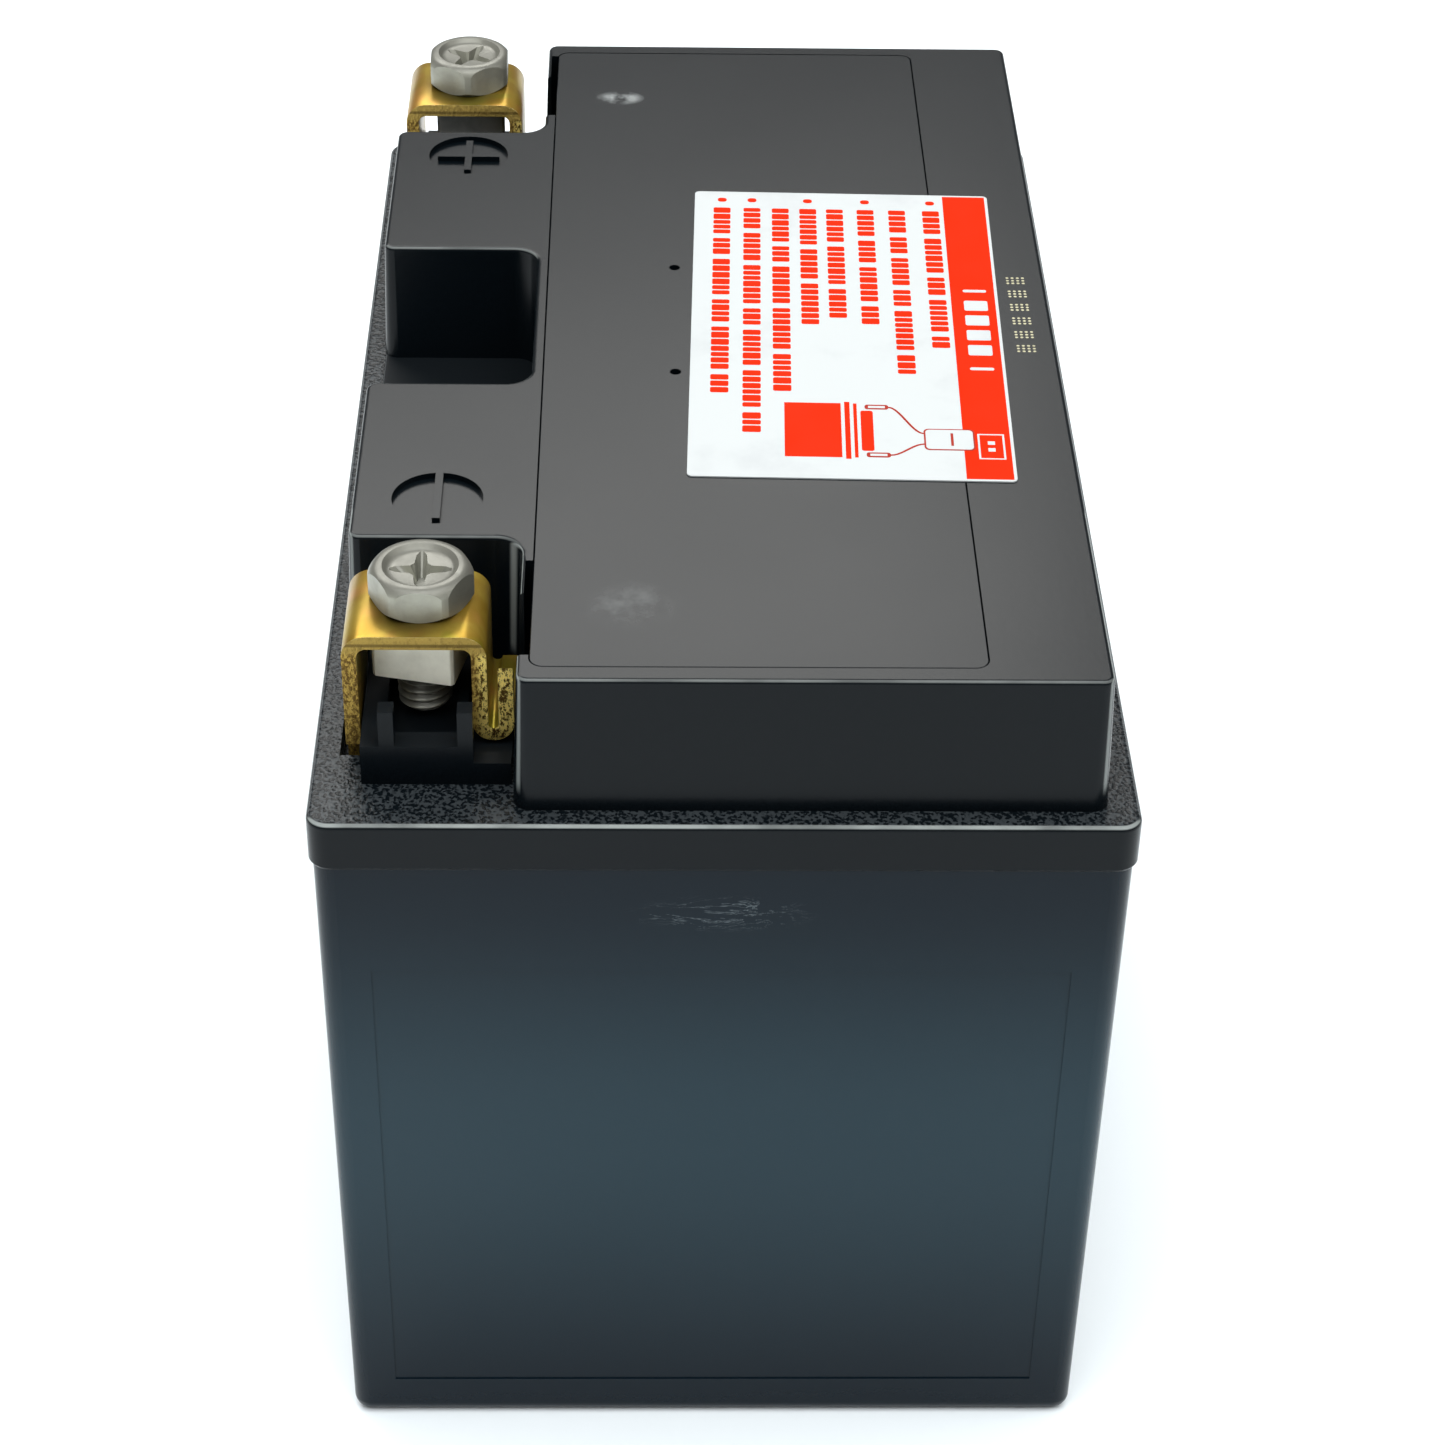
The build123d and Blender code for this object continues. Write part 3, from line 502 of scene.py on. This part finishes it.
def thread_mesh(around=48, steps=10):
    """Right-hand thread under the head, from z = 0.2 mm inside it down to a chamfered end."""
    top = 0.2 * MM
    length = BOLT_LENGTH + top
    rows = int(round(length / THREAD_PITCH * steps))
    bm = bmesh.new()
    rings = []
    for row in range(rows + 1):
        z = top - length * row / rows
        ring = []
        for index in range(around):
            turn = index / around
            phase = (z / THREAD_PITCH - turn) % 1.0
            flank = min(1.0, max(0.0, abs(phase - 0.5) * 2.6 - 0.15))
            radius = THREAD_R - THREAD_DEPTH * flank
            to_end = z + BOLT_LENGTH
            radius = min(radius, THREAD_R - THREAD_DEPTH - 0.25 * MM + max(0.0, to_end))
            angle = 2 * math.pi * turn
            ring.append(bm.verts.new((radius * math.cos(angle), radius * math.sin(angle), z)))
        rings.append(ring)
    for upper, lower in zip(rings, rings[1:]):
        for index in range(around):
            after = (index + 1) % around
            bm.faces.new([upper[index], upper[after], lower[after], lower[index]])
    bm.faces.new(rings[0])
    bm.faces.new(rings[-1])
    bmesh.ops.recalc_face_normals(bm, faces=bm.faces)
    return bm


def make_bolt(end, material):
    """One detailed bolt in place of its CAD node."""
    node = f"{end}_bolt"
    low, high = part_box(node)
    across_x = high.x - low.x
    turn = 0.0 if across_x > 10.4 * MM else 30.0
    place = Matrix.Translation(((low.x + high.x) / 2, (low.y + high.y) / 2, low.z + BOLT_LENGTH))
    head = bolt_head()
    bm = bmesh.new()
    bm.from_mesh(head.data)
    bpy.data.objects.remove(head)
    thread = thread_mesh()
    shank = bpy.data.meshes.new("shank")
    thread.to_mesh(shank)
    thread.free()
    bm.from_mesh(shank)
    bpy.data.meshes.remove(shank)
    bm.transform(place @ Matrix.Rotation(math.radians(turn), 4, "Z"))
    piece = mesh_piece(f"{end}_hex_bolt", bm, material, 38)
    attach(piece, node)
    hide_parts(node)
    return piece


# --- pieces refined from their CAD nodes ----------------------------------------------
def refined(node, name, material, width, segments, body=ROOT):
    """A copy of a CAD node with its sharp edges rounded."""
    bm = bmesh.new()
    bm.from_mesh(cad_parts[node].data)
    bmesh.ops.remove_doubles(bm, verts=bm.verts, dist=0.000002)
    bmesh.ops.dissolve_limit(bm, angle_limit=math.radians(0.5), verts=bm.verts, edges=bm.edges)
    mesh = bpy.data.meshes.new(name)
    bm.to_mesh(mesh)
    bm.free()
    mesh.materials.clear()
    mesh.materials.append(material)
    piece = link(bpy.data.objects.new(name, mesh))
    bevelled(piece, width, segments, 40, 30)
    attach(piece, body)
    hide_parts(node)
    return piece


# --- label ----------------------------------------------------------------------------
LABEL_LENGTH = 65.0 * MM
LABEL_WIDTH = 36.4 * MM
LABEL_TURN = math.radians(-1.35)
LABEL_TOP = LABEL_HIGH.z
INK = 0.012 * MM
BAND_LOW = 12.6 * MM
HAIRLINE = 0.35 * MM


def label_place():
    """Matrix from the label's own axes, u along its length and v across, to the row frame."""
    centre = (LABEL_LOW + LABEL_HIGH) / 2
    return Matrix.Translation((centre.x, centre.y, LABEL_TOP)) @ Matrix.Rotation(LABEL_TURN, 4, "Z")


def slab(bm, u0, u1, v0, v1, low=0.0, high=INK, corner=0.0):
    """Flat print between two corners, in the label's axes, with rounded corners if asked."""
    points = [(u0, v0), (u1, v0), (u1, v1), (u0, v1)]
    if corner > 0:
        points = []
        centres = [(u1 - corner, v0 + corner, -90), (u1 - corner, v1 - corner, 0),
                   (u0 + corner, v1 - corner, 90), (u0 + corner, v0 + corner, 180)]
        for cu, cv, start in centres:
            for step in range(5):
                angle = math.radians(start + 22.5 * step)
                points.append((cu + corner * math.cos(angle), cv + corner * math.sin(angle)))
    low_ring = [bm.verts.new((u, v, low)) for u, v in points]
    high_ring = [bm.verts.new((u, v, high)) for u, v in points]
    bm.faces.new(low_ring)
    bm.faces.new(high_ring)
    for index in range(len(points)):
        after = (index + 1) % len(points)
        bm.faces.new([low_ring[index], low_ring[after], high_ring[after], high_ring[index]])


def outline(bm, u0, u1, v0, v1, line, low=0.0, high=INK):
    """Rectangular frame of four strokes."""
    slab(bm, u0, u1, v0, v0 + line, low, high)
    slab(bm, u0, u1, v1 - line, v1, low, high)
    slab(bm, u0, u0 + line, v0 + line, v1 - line, low, high)
    slab(bm, u1 - line, u1, v0 + line, v1 - line, low, high)


def stroke(bm, points, line, low=0.0, high=INK):
    """Line of constant width along a smooth path in the label's axes."""
    left = []
    right = []
    for index, point in enumerate(points):
        before = points[max(0, index - 1)]
        after = points[min(len(points) - 1, index + 1)]
        along = Vector((after[0] - before[0], after[1] - before[1])).normalized()
        side = Vector((-along.y, along.x)) * line / 2
        left.append((point[0] + side.x, point[1] + side.y))
        right.append((point[0] - side.x, point[1] - side.y))
    for index in range(len(points) - 1):
        quad = [left[index], left[index + 1], right[index + 1], right[index]]
        lower = [bm.verts.new((u, v, low)) for u, v in quad]
        upper = [bm.verts.new((u, v, high)) for u, v in quad]
        bm.faces.new(upper)
        bm.faces.new(lower)
        for side_index in range(4):
            after = (side_index + 1) % 4
            bm.faces.new([lower[side_index], lower[after], upper[after], upper[side_index]])


def s_curve(start, end, steps=10):
    """Smooth S from one point to another, leaving and arriving along v."""
    points = []
    for step in range(steps + 1):
        share = step / steps
        eased = share * share * (3 - 2 * share)
        points.append((start[0] + (end[0] - start[0]) * eased, start[1] + (end[1] - start[1]) * share))
    return points


# each line of the notice: distance across the label, length, and whether a bullet starts it
NOTICE_LINES = (
    (11.0, 33.0, True), (6.8, 39.5, False), (2.9, 28.5, True), (-0.9, 26.5, False),
    (-4.2, 29.0, True), (-7.6, 43.5, False), (-11.1, 51.5, True), (-14.8, 45.0, True),
)
LINE_START = -28.4
BLOCK_HEIGHT = 2.1


def notice(bm, draw):
    """Rows of blank blocks in place of words."""
    half = BLOCK_HEIGHT / 2 * MM
    for across, length, bullet in NOTICE_LINES:
        v = across * MM
        if bullet:
            slab(bm, -30.9 * MM, -29.9 * MM, v - 0.55 * MM, v + 0.55 * MM, corner=0.4 * MM)
        u = LINE_START
        end = LINE_START + length
        while u < end - 1:
            word_end = min(end, u + draw.uniform(4.0, 10.0))
            while u < word_end - 0.8:
                width = draw.choice((0.95, 1.15, 1.15, 1.35))
                slab(bm, u * MM, (u + width) * MM, v - half, v + half, corner=0.25 * MM)
                u += width + 0.24
            u += 0.95


def pictogram(red, white, line):
    """A plain box on two leads: a filled block, two clips and an outlined charger."""
    slab(red, 16.9 * MM, 28.2 * MM, -7.4 * MM, -1.0 * MM)
    slab(red, 16.6 * MM, 28.5 * MM, -0.6 * MM, 0.0 * MM)
    slab(red, 16.9 * MM, 28.2 * MM, 0.4 * MM, 0.8 * MM)
    slab(red, 18.4 * MM, 26.8 * MM, 1.2 * MM, 2.6 * MM, corner=0.3 * MM)
    for clip, charger in ((17.6, 23.0), (27.6, 25.2)):
        slab(line, (clip - 0.5) * MM, (clip + 0.5) * MM, 1.7 * MM, 4.4 * MM, corner=0.35 * MM)
        slab(white, (clip - 0.22) * MM, (clip + 0.22) * MM, 2.1 * MM, 4.0 * MM, INK, 2 * INK)
        stroke(line, s_curve((clip * MM, 4.4 * MM), (charger * MM, 8.2 * MM)), 0.28 * MM)
    slab(line, 22.0 * MM, 26.4 * MM, 8.2 * MM, 13.9 * MM, high=2 * INK, corner=0.6 * MM)
    slab(white, 22.2 * MM, 26.2 * MM, 8.4 * MM, 13.7 * MM, 2 * INK, 3 * INK, 0.5 * MM)
    slab(line, 22.9 * MM, 25.5 * MM, 11.2 * MM, 11.5 * MM, 3 * INK, 4 * INK)
    outline(white, 22.9 * MM, 28.1 * MM, 14.2 * MM, 17.2 * MM, 0.22 * MM, INK, 2 * INK)
    for pin in (24.4, 25.8):
        slab(white, pin * MM, (pin + 0.7) * MM, 15.3 * MM, 16.1 * MM, INK, 2 * INK)


def heading(white):
    """Blank blocks in the band, in place of its word."""
    for start, width in ((-9.2, 0.6), (-6.6, 2.3), (-3.2, 2.3), (0.2, 2.3), (3.6, 2.3), (8.6, 0.6)):
        slab(white, start * MM, (start + width) * MM, 14.1 * MM, 16.9 * MM, INK, 2 * INK, 0.25 * MM)


def make_label(white_film, red_print, dark_print):
    draw = random.Random(11)
    half_u = LABEL_LENGTH / 2
    half_v = LABEL_WIDTH / 2
    sheet, red, white, line = (bmesh.new() for _ in range(4))
    slab(sheet, -half_u, half_u, -half_v, half_v, -(LABEL_HIGH.z - LABEL_LOW.z), 0.0, 0.6 * MM)
    slab(red, -half_u + HAIRLINE, half_u - HAIRLINE, BAND_LOW, half_v - HAIRLINE)
    notice(red, draw)
    heading(white)
    pictogram(red, white, line)
    for name, bm, material in (
        ("label_film", sheet, white_film), ("label_red_print", red, red_print),
        ("label_white_print", white, white_film), ("label_dark_print", line, dark_print),
    ):
        bm.transform(label_place())
        piece = mesh_piece(name, bm, material)
        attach(piece, ROOT)
    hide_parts("caution_label")


def make_date_dots(material):
    """Ink-jet dots beside the label: six equal blank groups."""
    bm = bmesh.new()
    radius = 0.19 * MM
    for group in range(6):
        for column in range(3):
            for row in range(4):
                x = (-10.0 + 3.15 * group + 0.62 * column) * MM
                y = (35.0 + 0.62 * row) * MM
                centre = Vector((x, y, TOP_Z + 0.005 * MM))
                bmesh.ops.create_cone(
                    bm, cap_ends=True, segments=10, radius1=radius, radius2=radius * 0.9,
                    depth=0.01 * MM, matrix=Matrix.Translation(centre),
                )
    piece = mesh_piece("date_dots", bm, material)
    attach(piece, ROOT)


# --- setting --------------------------------------------------------------------------
def make_floor():
    graph = Graph("pale_floor")
    cloud = graph.noise(0.4, 2)
    base = graph.colour(cloud, (0.82, 0.88, 0.91), (0.85, 0.90, 0.93))
    material = graph.finish(Base_Color=base, Roughness=graph.span(cloud, 0.3, 0.7, 0.75, 0.8))
    bm = bmesh.new()
    bmesh.ops.create_grid(bm, x_segments=8, y_segments=8, size=4.0)
    mesh_piece("floor", bm, material)


def softbox(name, place, aim, size, radiance, colour):
    """Rectangular soft light with an even face."""
    light = bpy.data.lights.new(name, "AREA")
    light.shape = "RECTANGLE"
    light.size, light.size_y = size
    light.energy = radiance * math.pi * size[0] * size[1]
    light.color = colour
    obj = link(bpy.data.objects.new(name, light))
    obj.location = place
    obj.rotation_euler = (Vector(aim) - Vector(place)).to_track_quat("-Z", "Y").to_euler()


def make_walls():
    """Pale studio around the object: brighter overhead than at the horizon."""
    world = bpy.data.worlds.new("studio")
    bpy.context.scene.world = world
    world.use_nodes = True
    tree = world.node_tree
    place = tree.nodes.new("ShaderNodeTexCoord")
    split = tree.nodes.new("ShaderNodeSeparateXYZ")
    fade = tree.nodes.new("ShaderNodeMapRange")
    fade.inputs["From Min"].default_value = 0.30
    fade.inputs["To Min"].default_value = 0.22
    fade.inputs["To Max"].default_value = 1.05
    tree.links.new(place.outputs["Generated"], split.inputs[0])
    tree.links.new(split.outputs["Z"], fade.inputs["Value"])
    tree.links.new(fade.outputs["Result"], tree.nodes["Background"].inputs["Strength"])
    tree.nodes["Background"].inputs["Color"].default_value = (1, 1, 1, 1)


def make_studio():
    make_walls()
    aim = (0, 0, 0.1)
    softbox("back_softbox", (-0.88, -0.26, 1.0), aim, (1.06, 0.56), 6.6, (1.0, 0.99, 0.96))
    softbox("front_softbox", (0.32, 0.0, 1.0), (0.1, 0, 0), (1.1, 0.8), 3.8, (0.98, 0.995, 1.0))
    softbox("side_softbox", (0.1, 0.95, 0.85), aim, (0.9, 0.5), 2.0, (1.0, 0.99, 0.97))


CAMERA_PLACE = (0.35138, -0.00835, 0.31382)
CAMERA_ANGLES = (1.62, 37.17, 1.19)     # yaw, pitch and roll in degrees
LENS = 85.65


def make_camera():
    """Camera above the negative end, looking along -X and down."""
    data = bpy.data.cameras.new("camera")
    data.sensor_width = 36
    data.lens = LENS
    data.clip_start = 0.01
    camera = link(bpy.data.objects.new("camera", data))
    yaw, pitch, roll = (math.radians(angle) for angle in CAMERA_ANGLES)
    turn = Matrix.Rotation(math.pi / 2 - yaw, 4, "Z") @ Matrix.Rotation(math.pi / 2 - pitch, 4, "X")
    camera.matrix_world = Matrix.Translation(CAMERA_PLACE) @ turn @ Matrix.Rotation(roll, 4, "Z")
    bpy.context.scene.camera = camera
    bpy.context.scene.view_settings.view_transform = "Standard"


# --- build ----------------------------------------------------------------------------
make_camera()
make_studio()
make_floor()

# (centre, radii, strength) of each mark
TOP_SMUDGES = (
    ((-0.0564, -0.0119, TOP_Z), (0.0022, 0.0035, 0.003), 0.7),
    ((0.0585, -0.0098, TOP_Z), (0.005, 0.006, 0.003), 0.09),
)
END_SCUFFS = (((END_FACE_X, 0.0, 0.0785), (0.01, 0.011, 0.0028), 0.5),)
container_plastic = moulded_plastic(
    "container_plastic", BLUE_BLACK, BLUE_BLACK_WORN, 1.25, reflection_band=True, scuffs=END_SCUFFS
)
dress("container", container_plastic)
dress("cover", moulded_plastic("cover_plastic", BLACK, BLACK_WORN, 1.24, grained=True))
dress("valve_cover", moulded_plastic("valve_cover_plastic", BLACK, BLACK_WORN, 1.24, marks=TOP_SMUDGES))

gold = passivated_steel()
bolt_zinc = zinc(
    "zinc_plated_bolt", (0.36, 0.36, 0.30), (0.29, 0.29, 0.245), (0.10, 0.10, 0.085), 0.32, 0.44, 0.35
)
# the two nuts use lit and shaded copies of one zinc; the far nut's darker copy is painted shade
nut_zinc = {
    "negative": zinc(
        "zinc_plated_nut", (0.95, 0.92, 0.78), (0.84, 0.81, 0.68), (0.6, 0.58, 0.5), 0.44, 0.56, 0.15
    ),
    "positive": zinc(
        "zinc_plated_nut_painted_shade", (0.24, 0.24, 0.22), (0.17, 0.17, 0.16), (0.12, 0.12, 0.11),
        0.44, 0.56, 0.15,
    ),
}
STRIP_ROUND = 0.28 * MM
NUT_ROUND = 0.18 * MM
for end in ENDS:
    refined(f"{end}_terminal", f"{end}_strap", gold, STRIP_ROUND, 3)
    refined(
        f"{end}_nut", f"{end}_square_nut", nut_zinc[end], NUT_ROUND, 2, f"{end}_nut"
    )
    make_bolt(end, bolt_zinc)

white_film = printed_film("label_white", (0.45, 0.475, 0.48), (0.41, 0.43, 0.44))
red_print = printed_film("label_red", (0.53, 0.018, 0.002), (0.48, 0.016, 0.002))
dark_print = printed_film("label_dark_red", (0.28, 0.03, 0.02), (0.22, 0.03, 0.02))
make_label(white_film, red_print, dark_print)
make_date_dots(printed_film("date_ink", (0.42, 0.40, 0.27), (0.25, 0.24, 0.16)))

rubber = dull("valve_rubber", (0.022, 0.022, 0.022), (0.032, 0.032, 0.032), 0.002, 0.6)
glass_mat = dull("glass_mat", (0.78, 0.78, 0.75), (0.70, 0.70, 0.67), 0.001, 0.9, depth=0.0001)
dioxide = dull("lead_dioxide_paste", (0.10, 0.055, 0.035), (0.15, 0.085, 0.055), 0.001, 0.8)
sponge = dull("sponge_lead", (0.20, 0.21, 0.22), (0.27, 0.28, 0.29), 0.001, 0.75)
lead = dull("cast_lead", (0.30, 0.31, 0.33), (0.22, 0.23, 0.25), 0.003, 0.5, 0.9)
resin = dull("sealing_resin", (0.016, 0.016, 0.02), (0.024, 0.024, 0.028), 0.004, 0.2)
disc = dull("porous_disc", (0.74, 0.74, 0.72), (0.60, 0.60, 0.58), 0.0004, 0.9)

INNER = (
    ("valve_cap", rubber), ("separators", glass_mat), ("positive_plates", dioxide),
    ("negative_plates", sponge), ("positive_strap", lead), ("negative_strap", lead),
    ("positive_post_seal", resin), ("negative_post_seal", resin), ("positive_post", lead),
    ("negative_post", lead), ("intercell_welds", lead), ("vent_filters", disc),
)
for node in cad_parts:
    finish_material = next((material for start, material in INNER if node.startswith(start)), None)
    if finish_material is not None:
        dress(node, finish_material)
